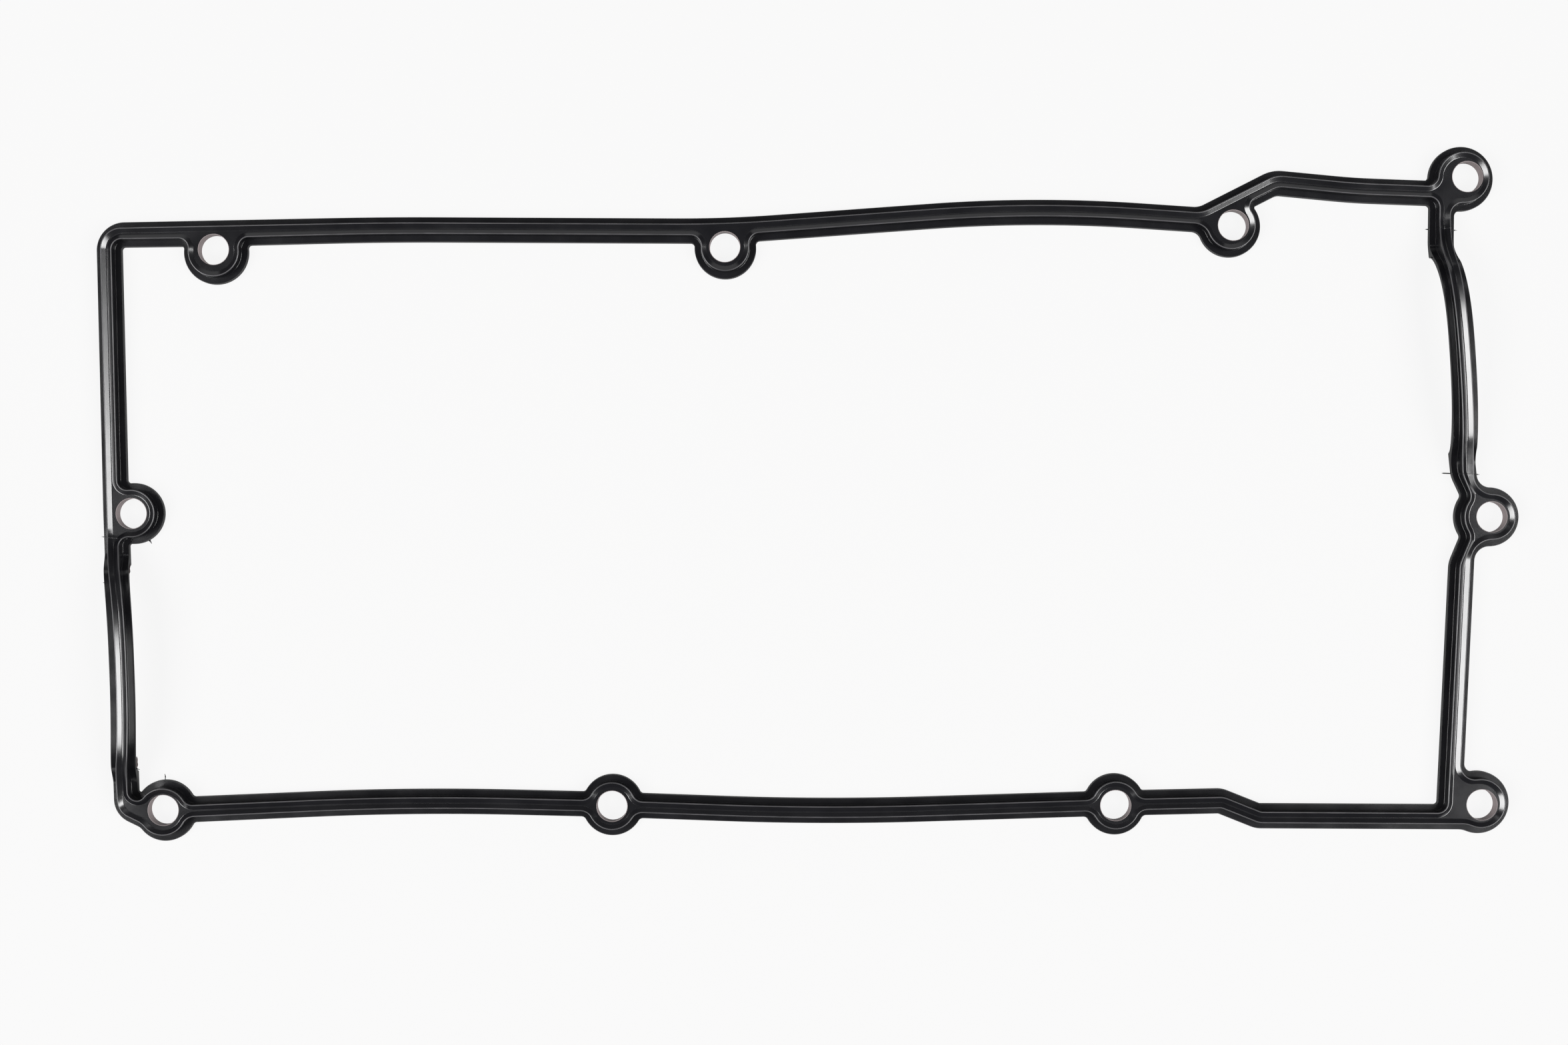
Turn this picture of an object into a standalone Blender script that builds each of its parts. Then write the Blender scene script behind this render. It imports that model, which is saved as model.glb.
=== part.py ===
"""Moulded rubber gasket for the valve cover of a four-cylinder twin-camshaft engine.

One piece of black rubber runs round the rim of the cover. Its section is a flat flange with a
tall rib on it, and the rib's top is a shallow vee between two ridges. At each of the ten cover
bolts the two ridges part, pass the bolt hole on both sides and meet again, so that a flat land
carries the hole. Over the camshaft ends the left and right rails rise into low arches.

Units are metres. The underside rests on z = 0.
"""
import bmesh
import bpy
from math import acos, atan2, ceil, cos, pi, radians, sin, sqrt, tan
from mathutils import Vector

# Section across a rail
RAIL_WIDTH = 0.0075
FLANGE_WIDTH = 0.0019
FLANGE_THICKNESS = 0.0016
RIDGE_HEIGHT = 0.0050
LAND_HEIGHT = 0.0044
CREASE_WIDTH = 0.0003
RIDGE_EDGE = 0.0002
RIB_DRAFT = 0.0001

# Relief groove under each edge, which leaves a thin sealing lip along the rim
GROOVE_INSET = 0.0011
GROOVE_WIDTH = 0.0008
GROOVE_DEPTH = 0.0003

# Bolt holes
HOLE_DIAMETER = 0.0091
HOLE_SIDES = 24

# Camshaft arches. Fullness above 2 gives steep feet and a flat crown, and flare widens the
# arch with height, so that the rubber keeps its thickness at the feet. Ease rounds the feet:
# it is the distance along the rail, per height, over which the rise is averaged
ARCH_RISE = 0.0082
ARCH_FULLNESS = 2.5
ARCH_FLARE = 0.75
ARCH_EASE = 1.2
ARCH_EASE_SAMPLES = 8
ARCH_FOOT_STEP = 0.0012
ARCH_STEP = 0.0050

# How far a chord may leave its arc, and the widest turn from one chord to the next
FACET_TOLERANCE = 0.00005
WIDEST_TURN = radians(24)

# Worked out from the values above
HOLE_RADIUS = HOLE_DIAMETER / 2
CREASE_OFFSET = (RAIL_WIDTH - CREASE_WIDTH) / 2
SMALLEST_BEND = 0.0003
SMALLEST_HALF_TURN = 0.00001

# Centres of the bolt holes. All other places are given from them
BOLTS = {
    "top_left": (-0.1715, 0.0821),
    "top_mid": (-0.0178, 0.0829),
    "top_right_mid": (0.1351, 0.0894),
    "top_right": (0.2055, 0.1040),
    "right_mid": (0.2128, 0.0017),
    "bottom_right": (0.2098, -0.0849),
    "bottom_right_mid": (0.0997, -0.0851),
    "bottom_mid": (-0.0517, -0.0853),
    "bottom_left": (-0.1866, -0.0865),
    "left_mid": (-0.1962, 0.0027),
}

# The flange round each bolt: the bolt, how far the eye's centre lies from it in x and y, and
# the width of the flat land between a concentric hole and the rib's vee
EYES = {
    "top_left": ("top_left", 0.0001, -0.0005, 0.00155),
    "top_mid": ("top_mid", 0.0001, -0.0001, 0.00115),
    "top_right_mid": ("top_right_mid", -0.0007, 0.0000, 0.00115),
    "top_right": ("top_right", -0.0013, -0.0003, 0.00155),
    "right_mid": ("right_mid", 0.0000, 0.0000, 0.00075),
    "right_pocket": ("right_mid", 0.0000, 0.0000, 0.00235),
    "bottom_right": ("bottom_right", -0.0005, 0.0005, 0.00125),
    "bottom_right_mid": ("bottom_right_mid", 0.0000, 0.0001, 0.00105),
    "bottom_mid": ("bottom_mid", 0.0000, 0.0001, 0.00105),
    "bottom_left": ("bottom_left", 0.0000, -0.0004, 0.00105),
    "left_mid": ("left_mid", 0.0000, 0.0000, 0.00105),
}

# Points of the rails' middle line beside a bolt: the bolt, x and y from it, and how far before
# and after the point its bend reaches
BESIDE_BOLTS = {
    "top_left_corner": ("top_left", -0.0323, 0.0047, 0.0047),
    "top_left": ("top_left", 0.0000, 0.0051, 0.0000),
    "top_mid": ("top_mid", 0.0000, 0.0051, 0.0155),
    "top_right_mid": ("top_right_mid", -0.0092, 0.0020, 0.0027),
    "top_apex": ("top_right_mid", 0.0129, 0.0132, 0.0021),
    "top_right": ("top_right", -0.0069, -0.0047, 0.0047),
    "right_bend": ("top_right", -0.0071, -0.0200, 0.0011),
    "right_jog_out": ("right_mid", -0.0076, 0.0133, 0.0010),
    "right_mid": ("right_mid", -0.0071, 0.0088, 0.0000),
    "right_pocket": ("right_mid", -0.0018, 0.0008, 0.0000),
    "right_jog_in": ("right_mid", -0.0082, -0.0146, 0.0010),
    "bottom_right": ("bottom_right", -0.0090, -0.0040, 0.0046),
    "bottom_step_low": ("bottom_right_mid", 0.0433, -0.0035, 0.0009),
    "bottom_step_high": ("bottom_right_mid", 0.0320, 0.0010, 0.0010),
    "bottom_right_mid": ("bottom_right_mid", 0.0000, 0.0003, 0.0000),
    "bottom_mid": ("bottom_mid", 0.0000, 0.0001, 0.0000),
    "bottom_left_low": ("bottom_left", -0.0085, -0.0010, 0.0000),
    "bottom_left_rise": ("bottom_left", -0.0118, 0.0006, 0.0025),
    "bottom_left_corner": ("bottom_left", -0.0118, -0.0009, 0.0000),
    "left_mid": ("left_mid", -0.0055, -0.0007, 0.0018),
}

# Points between two bolts, where a rail bows: the bolts, the share of the way from one to the
# other, how far above that line, and how far the bend reaches
BETWEEN_BOLTS = {
    "top_flat": ("top_left", "top_mid", 0.3351, 0.00613, 0.0166),
    "top_crest": ("top_mid", "top_right_mid", 0.6115, 0.00793, 0.0316),
    "top_fall": ("top_right_mid", "top_right", 0.5241, 0.00325, 0.0058),
    "bottom_sag": ("bottom_right_mid", "bottom_mid", 0.5793, -0.00228, 0.0300),
    "bottom_crest": ("bottom_mid", "bottom_left", 0.4470, 0.00204, 0.0300),
}

# Each arch, between the bolts at its -Y and +Y ends: how far its feet stay from them, its lean
# to the right, and how far the crown leans to the +Y foot
LEFT_ARCH = ("bottom_left", "left_mid", 0.0115, 0.0157, radians(16), 0.0)
RIGHT_ARCH = ("right_mid", "top_right", 0.0193, 0.0240, radians(3.5), 0.25)

# Each edge in order. A bend names its path point. A bolt eye adds the eye and the fillets
# before and after it.
OUTER_EDGE = [
    ("top_left_corner",),
    ("top_flat",),
    ("top_mid",),
    ("top_crest",),
    ("top_right_mid",),
    ("top_apex",),
    ("top_fall",),
    ("top_right", "top_right", 0.0012, 0.0016),
    ("right_bend",),
    ("right_mid", "right_mid", 0.0040, 0.0045),
    ("bottom_right", "bottom_right", 0.0022, 0.0060),
    ("bottom_step_low",),
    ("bottom_step_high",),
    ("bottom_right_mid", "bottom_right_mid", 0.0016, 0.0016),
    ("bottom_sag",),
    ("bottom_mid", "bottom_mid", 0.0016, 0.0016),
    ("bottom_crest",),
    ("bottom_left_low", "bottom_left", 0.0018, 0.0040),
    ("bottom_left_rise",),
    ("left_mid",),
]
INNER_EDGE = [
    ("top_left_corner",),
    ("top_left", "top_left", 0.0008, 0.0010),
    ("top_flat",),
    ("top_mid", "top_mid", 0.0012, 0.0012),
    ("top_crest",),
    ("top_right_mid", "top_right_mid", 0.0032, 0.0006),
    ("top_apex",),
    ("top_fall",),
    ("top_right",),
    ("right_bend",),
    ("right_jog_out",),
    ("right_pocket", "right_pocket", 0.0015, 0.0015),
    ("right_jog_in",),
    ("bottom_right",),
    ("bottom_step_low",),
    ("bottom_step_high",),
    ("bottom_right_mid", "bottom_right_mid", 0.0012, 0.0012),
    ("bottom_sag",),
    ("bottom_mid", "bottom_mid", 0.0012, 0.0012),
    ("bottom_crest",),
    ("bottom_left_corner", "bottom_left", 0.0012, 0.0006),
    ("left_mid", "left_mid", 0.0007, 0.0010),
]

LEFT = 1
RIGHT = -1


def left_of(direction):
    """Unit vector on the left of a direction."""
    return Vector((-direction.y, direction.x))


def arc_steps(radius, sweep):
    """Number of chords that keep an arc within the facet tolerance."""
    ratio = min(FACET_TOLERANCE / radius, 0.3)
    return max(1, ceil(sweep / min(2 * acos(1 - ratio), WIDEST_TURN)))


def arc(centre, radius, start, end, turn, bulges):
    """Points of an arc, each with its normal on the open side of the edge.

    turn is LEFT or RIGHT, the way the arc is walked. bulges says that the rubber is on the
    centre's side, so that the normals point away from the centre.
    """
    sweep = (end - start) * turn
    while sweep < -1e-9:
        sweep += 2 * pi
    while sweep > 2 * pi:
        sweep -= 2 * pi
    steps = arc_steps(radius, sweep)
    points = []
    for step in range(steps + 1):
        angle = start + turn * sweep * step / steps
        radial = Vector((cos(angle), sin(angle)))
        points.append((centre + radial * radius, radial if bulges else -radial))
    return points


def angle_of(vector):
    """The vector's angle from +X."""
    return atan2(vector.y, vector.x)


def path_point(name):
    """A point of the middle line, and how far its bend reaches."""
    if name in BESIDE_BOLTS:
        bolt, x, y, reach = BESIDE_BOLTS[name]
        return Vector(BOLTS[bolt]) + Vector((x, y)), reach
    bolt, next_bolt, share, height, reach = BETWEEN_BOLTS[name]
    return Vector(BOLTS[bolt]).lerp(Vector(BOLTS[next_bolt]), share) + Vector((0, height)), reach


def eye_rim(name):
    """Centre and radius of the flange's rim round a bolt hole."""
    bolt, x, y, land = EYES[name]
    return Vector(BOLTS[bolt]) + Vector((x, y)), HOLE_RADIUS + land + CREASE_OFFSET


def offset_corner(point, before, after, shift):
    """Where two neighbouring edge lines cross, each shifted to its left from the middle line."""
    normals = left_of(before) + left_of(after)
    return point + normals * (shift / (1 + left_of(before).dot(left_of(after))))


def bend(corner, before, after, reach, open_side):
    """A rounded corner of the edge. Its middle line starts to bend at the reach from the point."""
    turning = before.x * after.y - before.y * after.x
    turn = LEFT if turning > 0 else RIGHT
    half_angle = max(abs(atan2(turning, before.dot(after))) / 2, SMALLEST_HALF_TURN)
    radius = reach / tan(half_angle)
    edge_radius = max(radius - open_side * turn * RAIL_WIDTH / 2, SMALLEST_BEND)
    tangent = edge_radius * tan(half_angle)
    centre = corner - before * tangent + left_of(before) * turn * edge_radius
    start = angle_of(-left_of(before) * turn)
    end = angle_of(-left_of(after) * turn)
    return arc(centre, edge_radius, start, end, turn, turn != open_side)


def eye(corner, before, after, rim, fillet_in, fillet_out, open_side):
    """The edge round a bolt eye: a fillet, the eye's own arc, and a fillet back to the rail."""
    bolt, radius = rim
    centres = []
    for direction, fillet, way in ((before, fillet_in, -1), (after, fillet_out, 1)):
        normal = left_of(direction) * open_side
        foot = corner + direction * (bolt - corner).dot(direction)
        height = (bolt - foot).dot(normal)
        along = sqrt(max((radius + fillet) ** 2 - (height - fillet) ** 2, 0.0))
        centres.append(foot + direction * along * way + normal * fillet)
    first, last = centres
    normal_in = left_of(before) * open_side
    normal_out = left_of(after) * open_side
    points = arc(first, fillet_in, angle_of(-normal_in), angle_of(bolt - first), open_side, False)
    points += arc(bolt, radius, angle_of(first - bolt), angle_of(last - bolt), -open_side, True)[1:-1]
    points += arc(last, fillet_out, angle_of(bolt - last), angle_of(-normal_out), open_side, False)
    return points


def edge_line(stations, open_side):
    """The whole edge of the flange, as points with normals on its open side."""
    middle = [path_point(station[0])[0] for station in stations]
    count = len(stations)
    runs = [(middle[(i + 1) % count] - middle[i]).normalized() for i in range(count)]
    points = []
    for i, station in enumerate(stations):
        before, after = runs[i - 1], runs[i]
        corner = offset_corner(middle[i], before, after, open_side * RAIL_WIDTH / 2)
        if len(station) == 1:
            points += bend(corner, before, after, path_point(station[0])[1], open_side)
        else:
            fillet_in, fillet_out = station[2:]
            points += eye(corner, before, after, eye_rim(station[1]), fillet_in, fillet_out, open_side)
    return add_arch_stations(points)


def arch_of(x):
    """Middle, span, lean and crown shift of the arch on the left or right rail, by the side of x."""
    low_bolt, high_bolt, low_gap, high_gap, lean, crown_shift = LEFT_ARCH if x < 0 else RIGHT_ARCH
    low_foot = BOLTS[low_bolt][1] + low_gap
    high_foot = BOLTS[high_bolt][1] - high_gap
    return (low_foot + high_foot) / 2, high_foot - low_foot, lean, crown_shift


def arch_stations(centre, span):
    """Places along a rail where an arch's edge gets a point: close at the feet, wide between."""
    reach = span / 2 + RIDGE_HEIGHT * (ARCH_FLARE + ARCH_EASE)
    foot = reach - span / 2 + 3 * ARCH_FOOT_STEP
    steps = ceil(foot / ARCH_FOOT_STEP)
    places = [reach - foot * step / steps for step in range(steps + 1)]
    middle_steps = ceil((reach - foot) / ARCH_STEP)
    places += [(reach - foot) * (1 - step / middle_steps) for step in range(1, middle_steps + 1)]
    return sorted({round(centre + way * place, 7) for place in places for way in (-1, 1)})


def add_arch_stations(points):
    """Adds points on the straight runs that carry the arches."""
    result = []
    for i, (point, normal) in enumerate(points):
        result.append((point, normal))
        following, next_normal = points[(i + 1) % len(points)]
        run = following - point
        if abs(run.y) < ARCH_STEP or abs(run.x) > abs(run.y):
            continue
        centre, span = arch_of(point.x)[:2]
        low, high = sorted((point.y, following.y))
        margin = ARCH_FOOT_STEP / 4
        places = [y for y in arch_stations(centre, span) if low + margin < y < high - margin]
        for y in sorted(places, reverse=run.y < 0):
            part = (y - point.y) / run.y
            result.append((point + run * part, normal.lerp(next_normal, part).normalized()))
    return result


def start_ring(bm, edge, station):
    """The flange's lower edge, as a closed loop of bmesh edges."""
    ring = [bm.verts.new((point.x, point.y, 0.0)) for point, normal in edge]
    for i, vert in enumerate(ring):
        vert[station] = i
        bm.edges.new((ring[i - 1], vert))
    return ring


def extrude_ring(bm, ring, edge, station, inset, height):
    """Draws the last ring on to the next line of the section, and returns the new ring."""
    edges = [bm.edges.get((ring[i - 1], vert)) for i, vert in enumerate(ring)]
    drawn = bmesh.ops.extrude_edge_only(bm, edges=edges)["geom"]
    new_ring = [item for item in drawn if isinstance(item, bmesh.types.BMVert)]
    new_ring.sort(key=lambda vert: vert[station])
    for vert, (point, normal) in zip(new_ring, edge):
        place = point - normal * inset
        vert.co = (place.x, place.y, height)
    return new_ring


def draw_section(bm, edge, station):
    """Half of the rail's section, drawn along one edge: flange, rib wall, ridge and underside."""
    rim = start_ring(bm, edge, station)
    ring = rim
    for inset, height in (
            (0.0, FLANGE_THICKNESS),
            (FLANGE_WIDTH - RIB_DRAFT, FLANGE_THICKNESS),
            (FLANGE_WIDTH, RIDGE_HEIGHT - RIDGE_EDGE),
            (FLANGE_WIDTH + RIDGE_EDGE, RIDGE_HEIGHT),
            (CREASE_OFFSET, LAND_HEIGHT)):
        ring = extrude_ring(bm, ring, edge, station, inset, height)
    ring = rim
    for inset, height in (
            (GROOVE_INSET, 0.0),
            (GROOVE_INSET + GROOVE_WIDTH / 2, GROOVE_DEPTH),
            (GROOVE_INSET + GROOVE_WIDTH, 0.0)):
        ring = extrude_ring(bm, ring, edge, station, inset, height)


def draw_hole(bm, centre):
    """The wall of a bolt hole, open at both ends."""
    circle = bmesh.ops.create_circle(bm, segments=HOLE_SIDES, radius=HOLE_RADIUS)["verts"]
    bmesh.ops.translate(bm, verts=circle, vec=(centre[0], centre[1], LAND_HEIGHT))
    rim = {edge for vert in circle for edge in vert.link_edges}
    drawn = bmesh.ops.extrude_edge_only(bm, edges=list(rim))["geom"]
    foot = [item for item in drawn if isinstance(item, bmesh.types.BMVert)]
    bmesh.ops.translate(bm, verts=foot, vec=(0, 0, -LAND_HEIGHT))


def fill_level(bm, height):
    """Fills what is still open at one height, round the holes."""
    level = [edge for edge in bm.edges if edge.is_boundary
             and all(abs(vert.co.z - height) < 1e-6 for vert in edge.verts)]
    bmesh.ops.triangle_fill(bm, use_beauty=True, edges=level, normal=(0, 0, 1))


def arch_share(distance, span, height, crown_shift):
    """How much of its rise the arch has, this far from its middle and this high in the section."""
    total = 0.0
    for sample in range(-ARCH_EASE_SAMPLES, ARCH_EASE_SAMPLES + 1):
        eased = distance + height * ARCH_EASE * sample / ARCH_EASE_SAMPLES
        along = eased / (span / 2 + height * ARCH_FLARE)
        if abs(along) < 1:
            total += sqrt(1 - abs(along) ** ARCH_FULLNESS) * (1 + crown_shift * along)
    return total / (2 * ARCH_EASE_SAMPLES + 1)


def raise_arches(bm):
    """Lifts the two side rails over the camshaft ends."""
    rail_side = (BOLTS["top_right_mid"][0] + BOLTS["top_right"][0]) / 2
    for vert in bm.verts:
        if abs(vert.co.x) < rail_side:
            continue
        middle, span, lean, crown_shift = arch_of(vert.co.x)
        share = arch_share(vert.co.y - middle, span, vert.co.z, crown_shift)
        vert.co.z += ARCH_RISE * share
        vert.co.x += vert.co.z * share * tan(lean)


def centre_footprint(bm):
    """Moves the origin to the middle of the gasket's footprint."""
    xs = [vert.co.x for vert in bm.verts]
    ys = [vert.co.y for vert in bm.verts]
    middle = ((min(xs) + max(xs)) / 2, (min(ys) + max(ys)) / 2)
    bmesh.ops.translate(bm, verts=bm.verts, vec=(-middle[0], -middle[1], 0))


def rubber():
    """Black moulded rubber with a satin skin."""
    material = bpy.data.materials.new("black_rubber")
    material.use_nodes = True
    shader = material.node_tree.nodes["Principled BSDF"]
    shader.inputs["Base Color"].default_value = (0.022, 0.022, 0.023, 1)
    shader.inputs["Roughness"].default_value = 0.45
    shader.inputs["Metallic"].default_value = 0.0
    return material


def build_gasket():
    """The one moulded piece."""
    bm = bmesh.new()
    station = bm.verts.layers.int.new("station")
    draw_section(bm, edge_line(OUTER_EDGE, LEFT), station)
    draw_section(bm, edge_line(INNER_EDGE, RIGHT), station)
    for centre in BOLTS.values():
        draw_hole(bm, centre)
    fill_level(bm, LAND_HEIGHT)
    fill_level(bm, 0.0)
    raise_arches(bm)
    centre_footprint(bm)
    bmesh.ops.recalc_face_normals(bm, faces=bm.faces)
    mesh = bpy.data.meshes.new("cover_gasket")
    bm.to_mesh(mesh)
    bm.free()
    mesh.shade_smooth()
    mesh.set_sharp_from_angle(angle=radians(30))
    mesh.materials.append(rubber())
    return bpy.data.objects.new("cover_gasket", mesh)


def main():
    for thing in list(bpy.data.objects):
        bpy.data.objects.remove(thing, do_unlink=True)
    parts = bpy.data.collections.new("valve_cover_gasket")
    bpy.context.scene.collection.children.link(parts)
    parts.objects.link(build_gasket())


main()
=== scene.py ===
"""Looks of a moulded rubber valve cover gasket, flat on a pale table and seen from straight above."""
from math import acos, atan2, ceil, cos, pi, radians, sin, sqrt, tan

import bmesh
import bpy
from mathutils import Matrix, Vector
from mathutils.bvhtree import BVHTree


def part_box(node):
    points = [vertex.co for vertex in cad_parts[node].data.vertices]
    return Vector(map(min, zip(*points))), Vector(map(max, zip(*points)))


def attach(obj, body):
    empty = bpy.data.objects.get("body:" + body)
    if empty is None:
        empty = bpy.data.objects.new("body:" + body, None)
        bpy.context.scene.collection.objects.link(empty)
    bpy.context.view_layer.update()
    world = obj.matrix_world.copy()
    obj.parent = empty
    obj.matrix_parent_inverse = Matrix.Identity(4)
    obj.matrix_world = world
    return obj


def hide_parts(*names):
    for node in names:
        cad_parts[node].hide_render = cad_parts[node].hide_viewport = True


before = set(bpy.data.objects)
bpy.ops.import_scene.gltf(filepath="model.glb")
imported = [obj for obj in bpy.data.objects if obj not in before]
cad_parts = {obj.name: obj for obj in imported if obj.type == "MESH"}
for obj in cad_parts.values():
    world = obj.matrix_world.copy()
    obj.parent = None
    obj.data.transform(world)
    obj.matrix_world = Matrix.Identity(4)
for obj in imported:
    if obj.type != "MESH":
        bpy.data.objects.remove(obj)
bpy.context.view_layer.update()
gasket_low, gasket_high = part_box("cover_gasket")

MM = 0.001

# Section across a rail, in millimetres. The rail's two edges carry the same half section.
# LAND_MARGIN is a flat ring beyond the crease, and MARK_EDGE is how soon a mark fades out
RAIL_WIDTH = 7.5
FLANGE_WIDTH = 2.05
FLANGE_THICKNESS = 1.6
RIDGE_HEIGHT = 5.1
LAND_HEIGHT = 4.15
CREASE_WIDTH = 0.3
RIB_DRAFT = 0.1
LAND_MARGIN = 0.12
RIM_ROUND = 0.14
RIM_START = 3 * RIM_ROUND
RIB_FOOT_ROUND = 0.08
RIDGE_ROUND = 0.2
CREASE_ROUND = 0.35
MARK_EDGE = 0.05
GROOVE_INSET = 1.1
GROOVE_WIDTH = 0.8
GROOVE_DEPTH = 0.3
ROUND_STEPS = 5

# Bolt holes
HOLE_RADIUS = 4.55
HOLE_RIM_ROUND = 0.12
HOLE_SIDES = 96

# Arches over the camshaft ends. Fullness above 2 gives steep feet and a flat crown, and flare
# widens the arch with height. Ease is the distance along the rail, per height, over which the
# rise is averaged. Points along the rail are close at the feet and as far inside them as
# ARCH_FOOT_INWARD, and wide between
ARCH_RISE = 8.2
ARCH_FULLNESS = 2.5
ARCH_FLARE = 0.75
ARCH_EASE = 1.5
ARCH_EASE_SAMPLES = 16
ARCH_FOOT_STEP = 0.25
ARCH_FOOT_INWARD = 3.0
ARCH_STEP = 1.2
STATION_DIGITS = 4

# Each arch: its middle and span along the rail, its lean to the right, the roll of its section
# over the underside, and how far the crown shifts to the +Y foot
LEFT_ARCH = (-44.0, 62.0, radians(15.6), radians(-2), 0.0)
RIGHT_ARCH = (50.5, 59.0, radians(5.7), radians(-14), 0.25)

# How marked stretches of the skin look: sRGB colour, roughness and least share of the colour
MARKS = {
    # Painted highlight: lighter grey on the ridge crests stands in for their thin highlight lines,
    # with a duller finish
    "painted_crest_highlight": ("#2c2b2d", 0.42, 0.4),
    # Painted reflection: pale pinkish grey on the hole walls stands in for the white table's light
    # reflected there; the torn films take the same pale colour
    "painted_reflection_and_pale_film": ("#5c5454", 0.7, 0.9),
    "trimmed": ("#070708", 0.8, 1.0),
}

# Fineness of the curves
FACET_TOLERANCE = 0.004
WIDEST_TURN = radians(7)
SMALLEST_BEND = 0.3

# Slack in comparing angles, and in comparing heights
ANGLE_SLACK = 1e-9
LEVEL_SLACK = 1e-4

# Pull of large faces on the smooth shading: 50 is neutral, and above it flat faces stay flat
NORMAL_WEIGHT = 80

# Middle line of the rails, clockwise seen from above: x, y and, where a rail bends there, the
# bend's radius
PATH = {
    "top_left_corner": (-203.8, 86.8, 4.7),
    "top_left": (-171.5, 87.2),
    "top_flat": (-120.0, 88.5, 1200.0),
    "top_mid": (-17.8, 88.0, 400.0),
    "top_crest": (75.7, 94.8, 450.0),
    "top_right_mid": (125.9, 91.4, 9.8),
    "top_apex": (148.0, 102.6, 7.3),
    "top_fall": (172.0, 100.3, 200.0),
    "top_right": (198.6, 99.3, 4.8),
    "right_bend": (198.4, 84.0, 20.0),
    "right_mid": (205.7, 10.5),
    "right_jog_out": (205.2, 15.0, 6.0),
    "right_pocket": (211.0, 2.5),
    "right_jog_in": (204.6, -12.9, 6.0),
    "bottom_right": (200.8, -88.9, 4.8),
    "bottom_step_low": (143.0, -88.6, 4.8),
    "bottom_step_high": (131.7, -84.1, 4.8),
    "bottom_right_mid": (99.7, -84.8),
    "bottom_sag": (12.0, -87.5, 900.0),
    "bottom_mid": (-51.7, -85.2),
    "bottom_crest": (-112.0, -83.8, 900.0),
    "bottom_left_low": (-195.1, -87.5),
    "bottom_left_rise": (-198.4, -85.9, 3.9),
    "bottom_left_corner": (-198.4, -87.4),
    "left_mid": (-201.7, 2.0, 300.0),
}

# Centres of the bolt holes
BOLTS = {
    "top_left": (-171.5, 82.1),
    "top_mid": (-17.8, 82.9),
    "top_right_mid": (135.1, 89.4),
    "top_right": (205.5, 104.0),
    "right_mid": (212.8, 1.7),
    "bottom_right": (209.8, -84.9),
    "bottom_right_mid": (99.7, -85.1),
    "bottom_mid": (-51.7, -85.3),
    "bottom_left": (-186.6, -86.5),
    "left_mid": (-196.2, 2.7),
}

# The rounded rims of the flange round the bolt holes: centre x and y, and radius
EYES = {
    "top_left": (-171.4, 81.6, 9.7),
    "top_mid": (-17.7, 82.8, 9.3),
    "top_right_mid": (134.4, 89.4, 9.3),
    "top_right": (204.2, 103.7, 9.7),
    "right_mid": (212.8, 1.7, 8.9),
    "right_pocket": (212.8, 1.7, 10.5),
    "bottom_right": (209.3, -84.4, 9.4),
    "bottom_right_mid": (99.7, -85.0, 9.2),
    "bottom_mid": (-51.7, -85.2, 9.2),
    "bottom_left": (-186.6, -86.9, 9.2),
    "left_mid": (-196.2, 2.7, 9.2),
}

# Each edge in order. A bend names its path point. A bolt eye adds the eye and the fillets
# before and after it
OUTER_EDGE = [
    ("top_left_corner",),
    ("top_flat",),
    ("top_mid",),
    ("top_crest",),
    ("top_right_mid",),
    ("top_apex",),
    ("top_fall",),
    ("top_right", "top_right", 1.2, 1.6),
    ("right_bend",),
    ("right_mid", "right_mid", 4.0, 4.5),
    ("bottom_right", "bottom_right", 2.2, 6.0),
    ("bottom_step_low",),
    ("bottom_step_high",),
    ("bottom_right_mid", "bottom_right_mid", 1.6, 1.6),
    ("bottom_sag",),
    ("bottom_mid", "bottom_mid", 1.6, 1.6),
    ("bottom_crest",),
    ("bottom_left_low", "bottom_left", 1.8, 4.0),
    ("bottom_left_rise",),
    ("left_mid",),
]
INNER_EDGE = [
    ("top_left_corner",),
    ("top_left", "top_left", 0.8, 1.0),
    ("top_flat",),
    ("top_mid", "top_mid", 1.2, 1.2),
    ("top_crest",),
    ("top_right_mid", "top_right_mid", 3.2, 0.6),
    ("top_apex",),
    ("top_fall",),
    ("top_right",),
    ("right_bend",),
    ("right_jog_out",),
    ("right_pocket", "right_pocket", 1.5, 1.5),
    ("right_jog_in",),
    ("bottom_right",),
    ("bottom_step_low",),
    ("bottom_step_high",),
    ("bottom_right_mid", "bottom_right_mid", 1.2, 1.2),
    ("bottom_sag",),
    ("bottom_mid", "bottom_mid", 1.2, 1.2),
    ("bottom_crest",),
    ("bottom_left_corner", "bottom_left", 1.2, 0.6),
    ("left_mid", "left_mid", 0.7, 1.0),
]

LEFT = 1
RIGHT = -1

# Thin flash where the mould's parts meet at the feet of the arches: from and to, beyond the rims
SPLICES = [
    ((193.6, 88.6), (203.3, 88.3)),
    ((198.6, 14.9), (210.2, 14.5)),
    ((-206.2, -4.3), (-196.6, -5.0)),
    ((-186.9, -75.9), (-186.9, -79.4)),
]
FLASH_WIDTH = 0.18
FLASH_HEIGHT = 0.15
FLASH_STEP = 0.1
FLASH_TAPER_STEPS = 8

# Where the mould parts: the height at which whiskers, nibs and films stand out
PARTING_HEIGHT = 0.9

# Nibs of flash on the rim: x, y, the way it points and how far it stands out
NIBS = [
    (-191.3, -5.9, radians(-55), 0.6),
    (-204.6, -18.0, radians(185), 0.5),
    (-194.7, -74.2, radians(-20), 0.6),
    (194.7, 79.7, radians(200), 0.7),
    (200.8, 23.4, radians(180), 0.6),
]
NIB_RADIUS = 0.32
NIB_TIP_RADIUS = NIB_RADIUS / 6
NIB_SIDES = 8

# Torn pale films of flash along the inner rim of the left rail: x, first y, last y and width
FILMS = [
    (-197.3, -12.3, -15.9, 0.55),
    (-194.9, -70.2, -74.0, 0.45),
]
FILM_STEPS = 14

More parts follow.
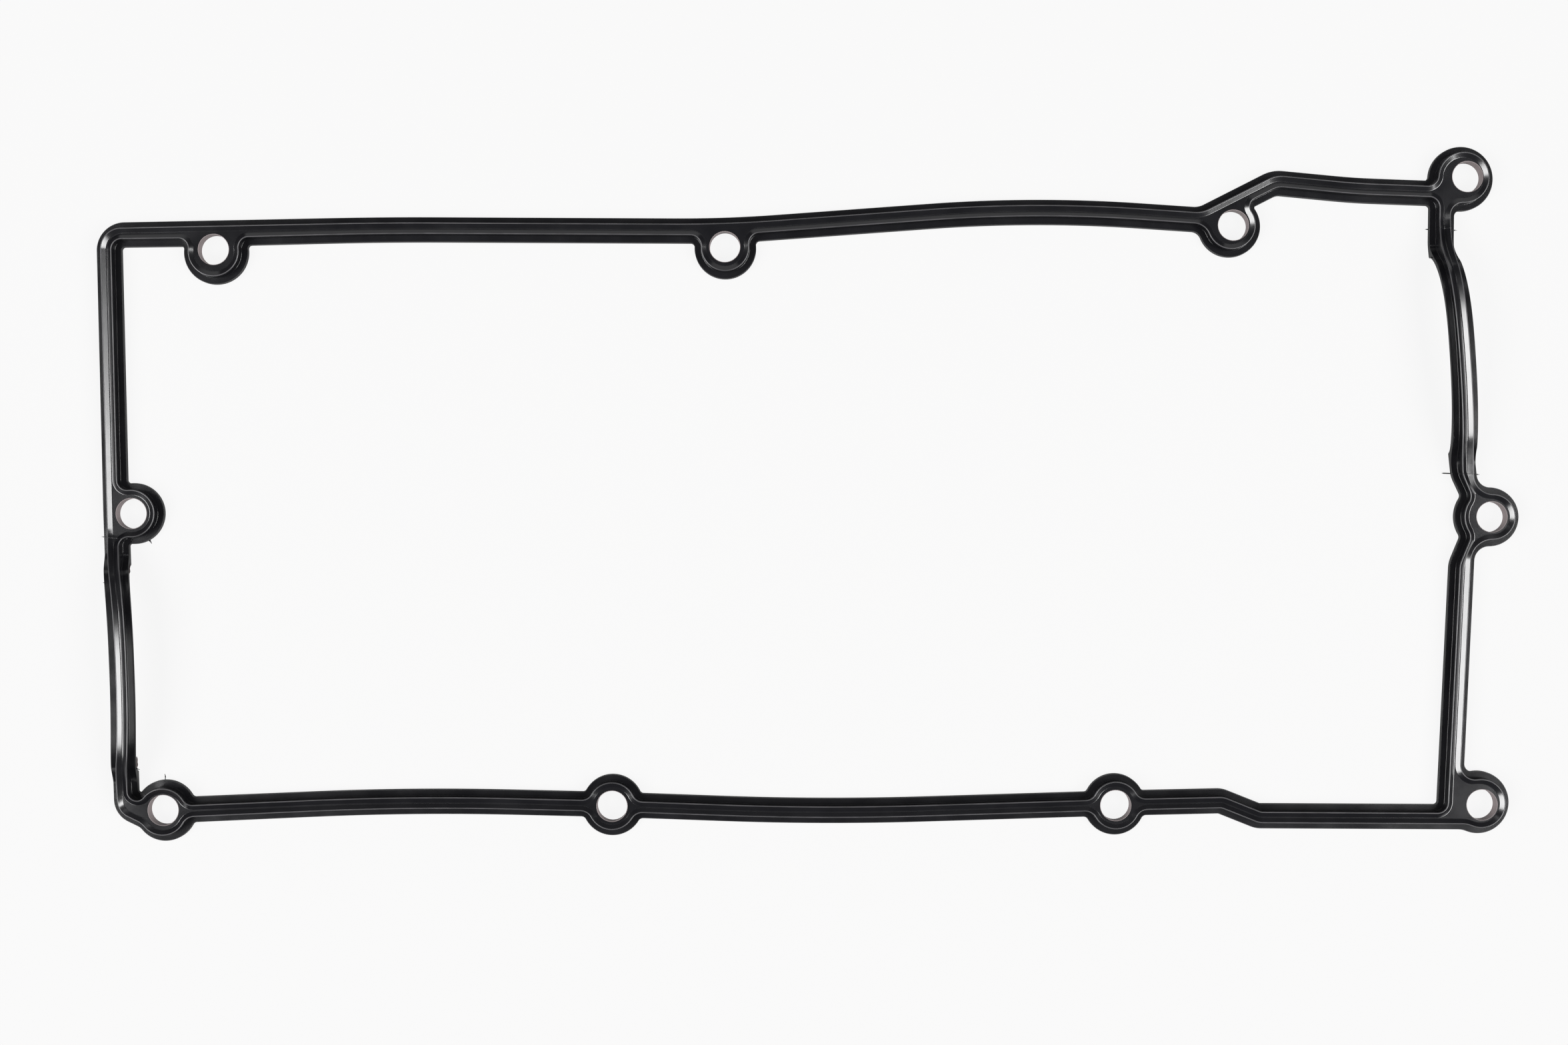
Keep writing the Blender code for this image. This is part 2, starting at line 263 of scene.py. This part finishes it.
# The torn edge of a film: its mean share of the width, how much that waves, and the wave's
# angle along the film
TEAR_SHARE = 0.75
TEAR_WAVE = 0.25
TEAR_ANGLE = 11

# Rubber: sizes of its patterns and depth of its grain, ramp places with sRGB colours, and the
# noise values between which roughness and patches change
GRAIN_SIZE = 0.35
GRAIN_DEPTH = 0.05
GRAIN_STRENGTH = 0.02
FLOW_SIZE = 9
PATCH_SIZE = 6
BLACKS = ((0.35, "#08080a"), (0.75, "#0d0d0f"))
GLOSS_NOISE = (0.3, 0.7)
GLOSS_ROUGHNESS = (0.18, 0.23)
PATCH_NOISE = (0.35, 0.65)
RUBBER_IOR = 1.52

# Table: half its width in metres, how far it lies below the gasket in millimetres, and its looks
TABLE_HALF_WIDTH = 3.0
TABLE_DROP = 0.05
TABLE_COLOUR = "#b4b2b2"
TABLE_GLOW = "#f7f7f7"
TABLE_GLOW_SHARE = 0.95

# Side lamps, from the middle of the gasket, in metres and watts
SIDE_LAMP_OUT = 1.58
SIDE_LAMP_Y = -0.62
SIDE_LAMP_HEIGHT = 1.53
SIDE_LAMP_SIZE = (1.7, 1.1)
SIDE_LAMP_POWER = 125.0

# Lamps at the far side: y and height, width and height of the lamp, and power
FAR_LAMPS = {
    "far_lamp": (0.75, 1.20, (1.2, 0.12), 1.5),
    "far_wall": (2.2, 0.80, (2.6, 0.8), 5.0),
}

# Air round the table
AIR_COLOUR = "#b0b0b4"
AIR_STRENGTH = 0.2

# The photograph's camera, straight above, in millimetres from the middle of the rails' drawing
CAMERA_HEIGHT = 640.0
CAMERA_LENS = 48.57
SENSOR_WIDTH = 36.0


def linear(hex_colour):
    """An sRGB hex colour as linear red, green, blue and alpha."""
    values = [int(hex_colour[i:i + 2], 16) / 255 for i in (1, 3, 5)]
    return [v / 12.92 if v <= 0.04045 else ((v + 0.055) / 1.055) ** 2.4 for v in values] + [1]


def add(tree, kind, links=None, **settings):
    """Adds one node. settings fill its sockets and options, and links feed its sockets."""
    node = tree.nodes.new(kind)
    for name, value in settings.items():
        socket = node.inputs.get(name.replace("_", " "))
        if socket is None:
            setattr(node, name, value)
        else:
            socket.default_value = value
    for name, source in (links or {}).items():
        tree.links.new(source, node.inputs[name])
    return node


def left_of(direction):
    """Unit vector on the left of a direction."""
    return Vector((-direction.y, direction.x))


def angle_of(vector):
    """The vector's angle from +X."""
    return atan2(vector.y, vector.x)


def arc(centre, radius, start, end, turn, bulges):
    """Points of an arc with their normals on the open side.

    bulges says that the rubber is on the centre's side.
    """
    sweep = (end - start) * turn
    while sweep < -ANGLE_SLACK:
        sweep += 2 * pi
    while sweep > 2 * pi:
        sweep -= 2 * pi
    chord_turn = 2 * acos(1 - FACET_TOLERANCE / radius)
    steps = max(1, ceil(sweep / min(chord_turn, WIDEST_TURN)))
    points = []
    for step in range(steps + 1):
        angle = start + turn * sweep * step / steps
        radial = Vector((cos(angle), sin(angle)))
        points.append((centre + radial * radius, radial if bulges else -radial))
    return points


def offset_corner(point, before, after, shift):
    """Where two neighbouring edge lines cross, each shifted to its left from the middle line."""
    normals = left_of(before) + left_of(after)
    return point + normals * (shift / (1 + left_of(before).dot(left_of(after))))


def bend(corner, before, after, radius, open_side):
    """A rounded corner of the edge."""
    turning = before.x * after.y - before.y * after.x
    turn = LEFT if turning > 0 else RIGHT
    half_angle = abs(atan2(turning, before.dot(after))) / 2
    edge_radius = max(radius - open_side * turn * RAIL_WIDTH / 2, SMALLEST_BEND)
    centre = corner - before * edge_radius * tan(half_angle) + left_of(before) * turn * edge_radius
    start = angle_of(-left_of(before) * turn)
    end = angle_of(-left_of(after) * turn)
    return arc(centre, edge_radius, start, end, turn, turn != open_side)


def eye(corner, before, after, rim, fillet_in, fillet_out, open_side):
    """The edge round a bolt eye: a fillet, the eye's own arc, and a fillet back to the rail."""
    middle = Vector(rim[:2])
    radius = rim[2]
    centres = []
    for direction, fillet, way in ((before, fillet_in, -1), (after, fillet_out, 1)):
        normal = left_of(direction) * open_side
        foot = corner + direction * (middle - corner).dot(direction)
        height = (middle - foot).dot(normal)
        along = sqrt(max((radius + fillet) ** 2 - (height - fillet) ** 2, 0.0))
        centres.append(foot + direction * along * way + normal * fillet)
    first, last = centres
    start = angle_of(-left_of(before) * open_side)
    end = angle_of(-left_of(after) * open_side)
    eye_start = angle_of(first - middle)
    eye_end = angle_of(last - middle)
    points = arc(first, fillet_in, start, angle_of(middle - first), open_side, False)
    points += arc(middle, radius, eye_start, eye_end, -open_side, True)[1:-1]
    points += arc(last, fillet_out, angle_of(middle - last), end, open_side, False)
    return points


def edge_line(stations, open_side):
    """The whole edge of the flange, as points with normals on its open side."""
    middle = [Vector(PATH[station[0]][:2]) for station in stations]
    count = len(stations)
    runs = [(middle[(i + 1) % count] - middle[i]).normalized() for i in range(count)]
    points = []
    for i, station in enumerate(stations):
        before, after = runs[i - 1], runs[i]
        corner = offset_corner(middle[i], before, after, open_side * RAIL_WIDTH / 2)
        if len(station) == 1:
            points += bend(corner, before, after, PATH[station[0]][2], open_side)
        else:
            fillet_in, fillet_out = station[2:]
            points += eye(corner, before, after, EYES[station[1]], fillet_in, fillet_out, open_side)
    return add_arch_stations(points)


def arch_of(x):
    """The arch on the left or right rail, whichever is on this side."""
    return LEFT_ARCH if x < 0 else RIGHT_ARCH


def arch_stations(centre, span):
    """Places along a rail where an arch's edge gets a point: close at the feet, wide between."""
    reach = span / 2 + RIDGE_HEIGHT * (ARCH_FLARE + ARCH_EASE)
    foot = reach - span / 2 + ARCH_FOOT_INWARD
    steps = ceil(foot / ARCH_FOOT_STEP)
    places = [reach - foot * step / steps for step in range(steps + 1)]
    middle_steps = ceil((reach - foot) / ARCH_STEP)
    places += [(reach - foot) * (1 - step / middle_steps) for step in range(1, middle_steps + 1)]
    return sorted({round(centre + way * place, STATION_DIGITS) for place in places for way in (-1, 1)})


def add_arch_stations(points):
    """Adds points on the straight runs that carry the arches."""
    result = []
    for i, (point, normal) in enumerate(points):
        result.append((point, normal))
        following, next_normal = points[(i + 1) % len(points)]
        run = following - point
        if abs(run.y) < ARCH_STEP or abs(run.x) > abs(run.y):
            continue
        centre, span = arch_of(point.x)[:2]
        low, high = sorted((point.y, following.y))
        margin = ARCH_FOOT_STEP / 4
        places = [y for y in arch_stations(centre, span) if low + margin < y < high - margin]
        for y in sorted(places, reverse=run.y < 0):
            part = (y - point.y) / run.y
            result.append((point + run * part, normal.lerp(next_normal, part).normalized()))
    return result


def rounded(corners):
    """A section line with its corners rounded: each corner is its inset, height, radius and mark.

    Returns the points, each with the mark of its corner. A marked stretch ends in unmarked points.
    """
    line = []
    for i, (inset, height, radius, mark) in enumerate(corners):
        here = Vector((inset, height))
        if radius == 0:
            line.append((here, mark))
            continue
        before = (here - Vector(corners[i - 1][:2])).normalized()
        after = (Vector(corners[i + 1][:2]) - here).normalized()
        turning = before.x * after.y - before.y * after.x
        half_angle = abs(atan2(turning, before.dot(after))) / 2
        start = here - before * radius * tan(half_angle)
        end = here + after * radius * tan(half_angle)
        centre = start + left_of(before) * (radius if turning > 0 else -radius)
        if mark and corners[i - 1][3] != mark:
            line.append((start - before * MARK_EDGE, None))
        for step in range(ROUND_STEPS + 1):
            spoke = (start - centre).slerp(end - centre, step / ROUND_STEPS)
            line.append((centre + spoke * radius, mark))
        if mark and corners[i + 1][3] != mark:
            line.append((end + after * MARK_EDGE, None))
    return line


def upper_section():
    """From the underside's rim round the flange, up the rib, over the ridge and down to the crease."""
    crease = (RAIL_WIDTH - CREASE_WIDTH) / 2
    return rounded([
        (RIM_START, 0.0, 0.0, None),
        (0.0, 0.0, RIM_ROUND, "trimmed"),
        (0.0, FLANGE_THICKNESS, RIM_ROUND, "trimmed"),
        (FLANGE_WIDTH - RIB_DRAFT, FLANGE_THICKNESS, RIB_FOOT_ROUND, None),
        # The ridge's rounding carries the painted crest highlight
        (FLANGE_WIDTH, RIDGE_HEIGHT, RIDGE_ROUND, "painted_crest_highlight"),
        (crease, LAND_HEIGHT, CREASE_ROUND, None),
        (crease + LAND_MARGIN, LAND_HEIGHT, 0.0, None),
    ])


def lower_section():
    """From the underside's rim across the relief groove."""
    middle = GROOVE_INSET + GROOVE_WIDTH / 2
    return [
        (Vector((GROOVE_INSET, 0.0)), None),
        (Vector((middle, GROOVE_DEPTH)), None),
        (Vector((GROOVE_INSET + GROOVE_WIDTH, 0.0)), None),
    ]


def extrude_ring(bm, ring, edge, layers, corner, mark):
    """Draws the last ring on to the next point of the section, and returns the new ring."""
    station = layers["station"]
    edges = [bm.edges.get((ring[i - 1], vert)) for i, vert in enumerate(ring)]
    drawn = bmesh.ops.extrude_edge_only(bm, edges=edges)["geom"]
    new_ring = [item for item in drawn if isinstance(item, bmesh.types.BMVert)]
    new_ring.sort(key=lambda vert: vert[station])
    for vert, (point, normal) in zip(new_ring, edge):
        place = point - normal * corner.x
        vert.co = (place.x, place.y, corner.y)
        set_mark(vert, layers, mark)
    return new_ring


def set_mark(vert, layers, mark):
    """Sets one mark on a vertex, and clears the others."""
    for name in MARKS:
        vert[layers[name]] = float(name == mark)


def draw_section(bm, edge, layers):
    """Draws the half section along one edge, up from its rim and across its underside."""
    first, *line = upper_section()
    rim = []
    for i, (point, normal) in enumerate(edge):
        place = point - normal * first[0].x
        vert = bm.verts.new((place.x, place.y, first[0].y))
        vert[layers["station"]] = i
        rim.append(vert)
    for i, vert in enumerate(rim):
        bm.edges.new((rim[i - 1], vert))
    for section in (line, lower_section()):
        ring = rim
        for corner, mark in section:
            ring = extrude_ring(bm, ring, edge, layers, corner, mark)


def draw_hole(bm, centre, layers):
    """The wall of a bolt hole with its rounded rims, open at both ends."""
    profile = rounded([
        (HOLE_RADIUS + 2 * HOLE_RIM_ROUND, LAND_HEIGHT, 0.0, None),
        # The hole wall carries the painted reflection of the table
        (HOLE_RADIUS, LAND_HEIGHT, HOLE_RIM_ROUND, "painted_reflection_and_pale_film"),
        (HOLE_RADIUS, 0.0, HOLE_RIM_ROUND, "painted_reflection_and_pale_film"),
        (HOLE_RADIUS + 2 * HOLE_RIM_ROUND, 0.0, 0.0, None),
    ])
    radius = profile[0][0].x
    ring = bmesh.ops.create_circle(bm, segments=HOLE_SIDES, radius=radius)["verts"]
    bmesh.ops.translate(bm, verts=ring, vec=(centre[0], centre[1], LAND_HEIGHT))
    loop = list(dict.fromkeys(edge for vert in ring for edge in vert.link_edges))
    middle = Vector((centre[0], centre[1], 0))
    for corner, mark in profile[1:]:
        drawn = bmesh.ops.extrude_edge_only(bm, edges=loop)["geom"]
        verts = [item for item in drawn if isinstance(item, bmesh.types.BMVert)]
        loop = [item for item in drawn if isinstance(item, bmesh.types.BMEdge)]
        for vert in verts:
            spoke = vert.co - middle
            spoke.z = 0
            vert.co = middle + spoke * (corner.x / radius) + Vector((0, 0, corner.y))
            set_mark(vert, layers, mark)
        radius = corner.x


def draw_strip(bm, rows, layers, mark):
    """Joins rows of points, all of one length, with faces."""
    grid = [[bm.verts.new(point) for point in row] for row in rows]
    for row in grid:
        for vert in row:
            set_mark(vert, layers, mark)
    for before, after in zip(grid, grid[1:]):
        for i in range(1, len(before)):
            bm.faces.new((before[i - 1], before[i], after[i], after[i - 1]))


def draw_splice(bm, surface, first, last, layers):
    """A line of flash laid across the rail. Past the rims it runs out to a thin whisker."""
    first, last = Vector(first), Vector(last)
    run = last - first
    side = left_of(run.normalized()) * FLASH_WIDTH
    steps = ceil(run.length / FLASH_STEP)
    rows = []
    for step in range(steps + 1):
        place = first + run * step / steps
        hit = surface.ray_cast(Vector((place.x, place.y, 2 * RIDGE_HEIGHT)), Vector((0, 0, -1)))[0]
        height = PARTING_HEIGHT if hit is None else hit.z
        steps_to_end = min(step, steps - step) + 1
        taper = min(1.0, steps_to_end / FLASH_TAPER_STEPS)
        edges = [place - side * taper, place + side * taper]
        rows.append([
            Vector((edges[0].x, edges[0].y, height - FLASH_HEIGHT / 2)),
            Vector((place.x, place.y, height + FLASH_HEIGHT)),
            Vector((edges[1].x, edges[1].y, height - FLASH_HEIGHT / 2)),
        ])
    draw_strip(bm, rows, layers, None)


def draw_nib(bm, x, y, angle, reach, layers):
    """A small spike of flash that stands out from the rim."""
    turn = Matrix.Rotation(angle, 4, "Z") @ Matrix.Rotation(pi / 2, 4, "Y")
    place = Matrix.Translation((x, y, PARTING_HEIGHT)) @ turn
    cone = bmesh.ops.create_cone(bm, segments=NIB_SIDES, cap_ends=True, radius1=NIB_RADIUS,
                                 radius2=NIB_TIP_RADIUS, depth=2 * reach, matrix=place)
    for vert in cone["verts"]:
        set_mark(vert, layers, None)


def draw_film(bm, x, first_y, last_y, width, layers):
    """A torn pale film of flash that hangs on the rim."""
    rows = []
    for step in range(FILM_STEPS + 1):
        along = step / FILM_STEPS
        tear = sin(pi * along) * (TEAR_SHARE + TEAR_WAVE * sin(TEAR_ANGLE * along))
        y = first_y + (last_y - first_y) * along
        rows.append([
            Vector((x - width / 2, y, PARTING_HEIGHT)),
            Vector((x + width * tear, y, PARTING_HEIGHT + width * tear / 2)),
        ])
    # The film takes the pale pinkish grey of the painted reflection in the holes
    draw_strip(bm, rows, layers, "painted_reflection_and_pale_film")


def fill_level(bm, height):
    """Fills what is still open at one height, round the holes."""
    level = [edge for edge in bm.edges if edge.is_boundary
             and all(abs(vert.co.z - height) < LEVEL_SLACK for vert in edge.verts)]
    bmesh.ops.triangle_fill(bm, use_beauty=True, edges=level, normal=(0, 0, 1))


def arch_share(distance, span, height, crown_shift):
    """How much of its rise the arch has, this far from its middle and this high in the section."""
    total = 0.0
    for sample in range(-ARCH_EASE_SAMPLES, ARCH_EASE_SAMPLES + 1):
        eased = distance + height * ARCH_EASE * sample / ARCH_EASE_SAMPLES
        along = eased / (span / 2 + height * ARCH_FLARE)
        if abs(along) < 1:
            total += sqrt(1 - abs(along) ** ARCH_FULLNESS) * (1 + crown_shift * along)
    return total / (2 * ARCH_EASE_SAMPLES + 1)


def raise_arches(bm):
    """Lifts the two side rails over the camshaft ends, and leans and rolls them as they lie."""
    rail_side = (BOLTS["top_right_mid"][0] + BOLTS["top_right"][0]) / 2
    for vert in bm.verts:
        if abs(vert.co.x) < rail_side:
            continue
        middle, span, lean, roll, crown_shift = arch_of(vert.co.x)
        height = vert.co.z
        share = arch_share(vert.co.y - middle, span, height, crown_shift)
        vert.co.z += ARCH_RISE * share
        vert.co.x += share * (vert.co.z * tan(lean) + height * tan(roll))


def fit_to_frame(bm):
    """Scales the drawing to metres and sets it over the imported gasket.

    Returns the shift that it took.
    """
    bmesh.ops.scale(bm, verts=bm.verts, vec=(MM, MM, MM))
    shift = Vector((0, 0, 0))
    for axis in (0, 1):
        values = [vert.co[axis] for vert in bm.verts]
        middle = (gasket_low[axis] + gasket_high[axis]) / 2
        shift[axis] = middle - (min(values) + max(values)) / 2
    bmesh.ops.translate(bm, verts=bm.verts, vec=shift)
    return shift


def mapped(tree, value, low, high, to_low, to_high):
    """A value moved from one range to another."""
    node = add(tree, "ShaderNodeMapRange", {"Value": value}, From_Min=low, From_Max=high,
               To_Min=to_low, To_Max=to_high)
    return node.outputs["Result"]


def moulded_rubber():
    """Compression-moulded black nitrile rubber, a satin skin that mirrors the lamps softly.

    Its ridge crests carry a painted highlight, a lighter grey with a duller finish, and its hole walls
    carry a painted reflection of the white table, a pale pinkish grey.
    Its trimmed rims are matt.
    """
    material = bpy.data.materials.new("moulded_rubber")
    material.use_nodes = True
    tree = material.node_tree
    tree.nodes.clear()
    place = add(tree, "ShaderNodeTexCoord").outputs["Object"]
    grain = add(tree, "ShaderNodeTexNoise", {"Vector": place},
                Scale=1 / (GRAIN_SIZE * MM), Detail=3, Roughness=0.6)
    flow = add(tree, "ShaderNodeTexNoise", {"Vector": place},
               Scale=1 / (FLOW_SIZE * MM), Detail=4, Roughness=0.55)
    patches = add(tree, "ShaderNodeTexNoise", {"Vector": place},
                  Scale=1 / (PATCH_SIZE * MM), Detail=2)
    black = add(tree, "ShaderNodeValToRGB", {"Fac": flow.outputs["Fac"]})
    for element, (position, tone) in zip(black.color_ramp.elements, BLACKS):
        element.position = position
        element.color = linear(tone)
    colour = black.outputs["Color"]
    rough = mapped(tree, flow.outputs["Fac"], *GLOSS_NOISE, *GLOSS_ROUGHNESS)
    # Each mark tints and dulls its stretch: painted crest highlight, painted table reflection in the
    # holes, matt trimmed rims
    for name, (tone, roughness, least) in MARKS.items():
        spread = mapped(tree, patches.outputs["Fac"], *PATCH_NOISE, least, 1.0)
        mark = add(tree, "ShaderNodeAttribute", attribute_name=name).outputs["Fac"]
        share = add(tree, "ShaderNodeMath", {0: mark, 1: spread}, operation="MULTIPLY")
        tint = add(tree, "ShaderNodeMix", {0: share.outputs[0], 6: colour}, data_type="RGBA")
        tint.inputs[7].default_value = linear(tone)
        dull = add(tree, "ShaderNodeMix", {0: mark, 2: rough}, data_type="FLOAT")
        dull.inputs[3].default_value = roughness
        colour = tint.outputs[2]
        rough = dull.outputs[0]
    bump = add(tree, "ShaderNodeBump", {"Height": grain.outputs["Fac"]},
               Strength=GRAIN_STRENGTH, Distance=GRAIN_DEPTH * MM)
    skin = add(tree, "ShaderNodeBsdfPrincipled", {
        "Base Color": colour,
        "Roughness": rough,
        "Normal": bump.outputs["Normal"],
    }, IOR=RUBBER_IOR)
    add(tree, "ShaderNodeOutputMaterial", {"Surface": skin.outputs["BSDF"]})
    return material


def build_gasket():
    """The one moulded piece, and the shift from the drawing to the frame."""
    bm = bmesh.new()
    bm.verts.layers.int.new("station")
    for name in MARKS:
        bm.verts.layers.float.new(name)
    layers = {name: bm.verts.layers.float[name] for name in MARKS}
    layers["station"] = bm.verts.layers.int["station"]
    draw_section(bm, edge_line(OUTER_EDGE, LEFT), layers)
    draw_section(bm, edge_line(INNER_EDGE, RIGHT), layers)
    for centre in BOLTS.values():
        draw_hole(bm, centre, layers)
    fill_level(bm, LAND_HEIGHT)
    fill_level(bm, 0.0)
    bmesh.ops.recalc_face_normals(bm, faces=bm.faces)
    surface = BVHTree.FromBMesh(bm)
    for first, last in SPLICES:
        draw_splice(bm, surface, first, last, layers)
    for x, y, angle, reach in NIBS:
        draw_nib(bm, x, y, angle, reach, layers)
    for x, first_y, last_y, width in FILMS:
        draw_film(bm, x, first_y, last_y, width, layers)
    raise_arches(bm)
    shift = fit_to_frame(bm)
    mesh = bpy.data.meshes.new("rubber_gasket")
    bm.to_mesh(mesh)
    bm.free()
    mesh.shade_smooth()
    mesh.materials.append(moulded_rubber())
    gasket = bpy.data.objects.new("rubber_gasket", mesh)
    bpy.context.scene.collection.objects.link(gasket)
    normals = gasket.modifiers.new("flat_faces_stay_flat", "WEIGHTED_NORMAL")
    normals.weight = NORMAL_WEIGHT
    return gasket, shift


def pale_table():
    """A plain white table that keeps the object's shadow."""
    bm = bmesh.new()
    bmesh.ops.create_grid(bm, x_segments=1, y_segments=1, size=TABLE_HALF_WIDTH)
    bmesh.ops.translate(bm, verts=bm.verts, vec=(0, 0, -TABLE_DROP * MM))
    mesh = bpy.data.meshes.new("table")
    bm.to_mesh(mesh)
    bm.free()
    material = bpy.data.materials.new("pale_table")
    material.use_nodes = True
    tree = material.node_tree
    tree.nodes.clear()
    paper = add(tree, "ShaderNodeBsdfDiffuse", Color=linear(TABLE_COLOUR))
    glow = add(tree, "ShaderNodeEmission", Color=linear(TABLE_GLOW), Strength=1.0)
    path = add(tree, "ShaderNodeLightPath")
    seen = add(tree, "ShaderNodeMath", {
        0: path.outputs["Is Camera Ray"],
        1: path.outputs["Is Glossy Ray"],
    }, operation="MAXIMUM")
    share = add(tree, "ShaderNodeMath", {0: seen.outputs[0]}, operation="MULTIPLY")
    share.inputs[1].default_value = TABLE_GLOW_SHARE
    mix = add(tree, "ShaderNodeMixShader", {
        0: share.outputs[0],
        1: paper.outputs[0],
        2: glow.outputs[0],
    })
    add(tree, "ShaderNodeOutputMaterial", {"Surface": mix.outputs[0]})
    mesh.materials.append(material)
    table = bpy.data.objects.new("table", mesh)
    bpy.context.scene.collection.objects.link(table)


def softbox(name, place, aim, size, power):
    """One soft white lamp: place and aim in metres, size as width and height."""
    lamp = bpy.data.lights.new(name, "AREA")
    lamp.shape = "RECTANGLE"
    lamp.size, lamp.size_y = size
    lamp.energy = power
    holder = bpy.data.objects.new(name, lamp)
    holder.location = place
    holder.rotation_euler = (Vector(aim) - Vector(place)).to_track_quat("-Z", "Y").to_euler()
    bpy.context.scene.collection.objects.link(holder)


def light_studio(middle):
    """Two soft lamps on the left and right, as over a copy stand, and weak ones at the far side."""
    x, y = middle
    for name, side in (("left_lamp", -1), ("right_lamp", 1)):
        place = (x + side * SIDE_LAMP_OUT, y + SIDE_LAMP_Y, SIDE_LAMP_HEIGHT)
        softbox(name, place, (x, y + SIDE_LAMP_Y, 0), SIDE_LAMP_SIZE, SIDE_LAMP_POWER)
    for name, (lamp_y, height, size, power) in FAR_LAMPS.items():
        softbox(name, (x, y + lamp_y, height), (x, y, 0), size, power)
    world = bpy.data.worlds.new("studio")
    bpy.context.scene.world = world
    world.use_nodes = True
    tree = world.node_tree
    tree.nodes.clear()
    air = add(tree, "ShaderNodeBackground", Color=linear(AIR_COLOUR), Strength=AIR_STRENGTH)
    add(tree, "ShaderNodeOutputWorld", {"Surface": air.outputs[0]})


def set_camera(middle):
    """The photograph's camera, looking straight down."""
    camera = bpy.data.cameras.new("camera")
    camera.lens = CAMERA_LENS
    camera.sensor_width = SENSOR_WIDTH
    holder = bpy.data.objects.new("camera", camera)
    holder.location = (middle[0], middle[1], CAMERA_HEIGHT * MM)
    bpy.context.scene.collection.objects.link(holder)
    bpy.context.scene.camera = holder


rubber_gasket, drawing_shift = build_gasket()
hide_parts("cover_gasket")
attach(rubber_gasket, "root")
pale_table()
light_studio(drawing_shift[:2])
set_camera(drawing_shift[:2])
bpy.context.scene.view_settings.view_transform = "Standard"
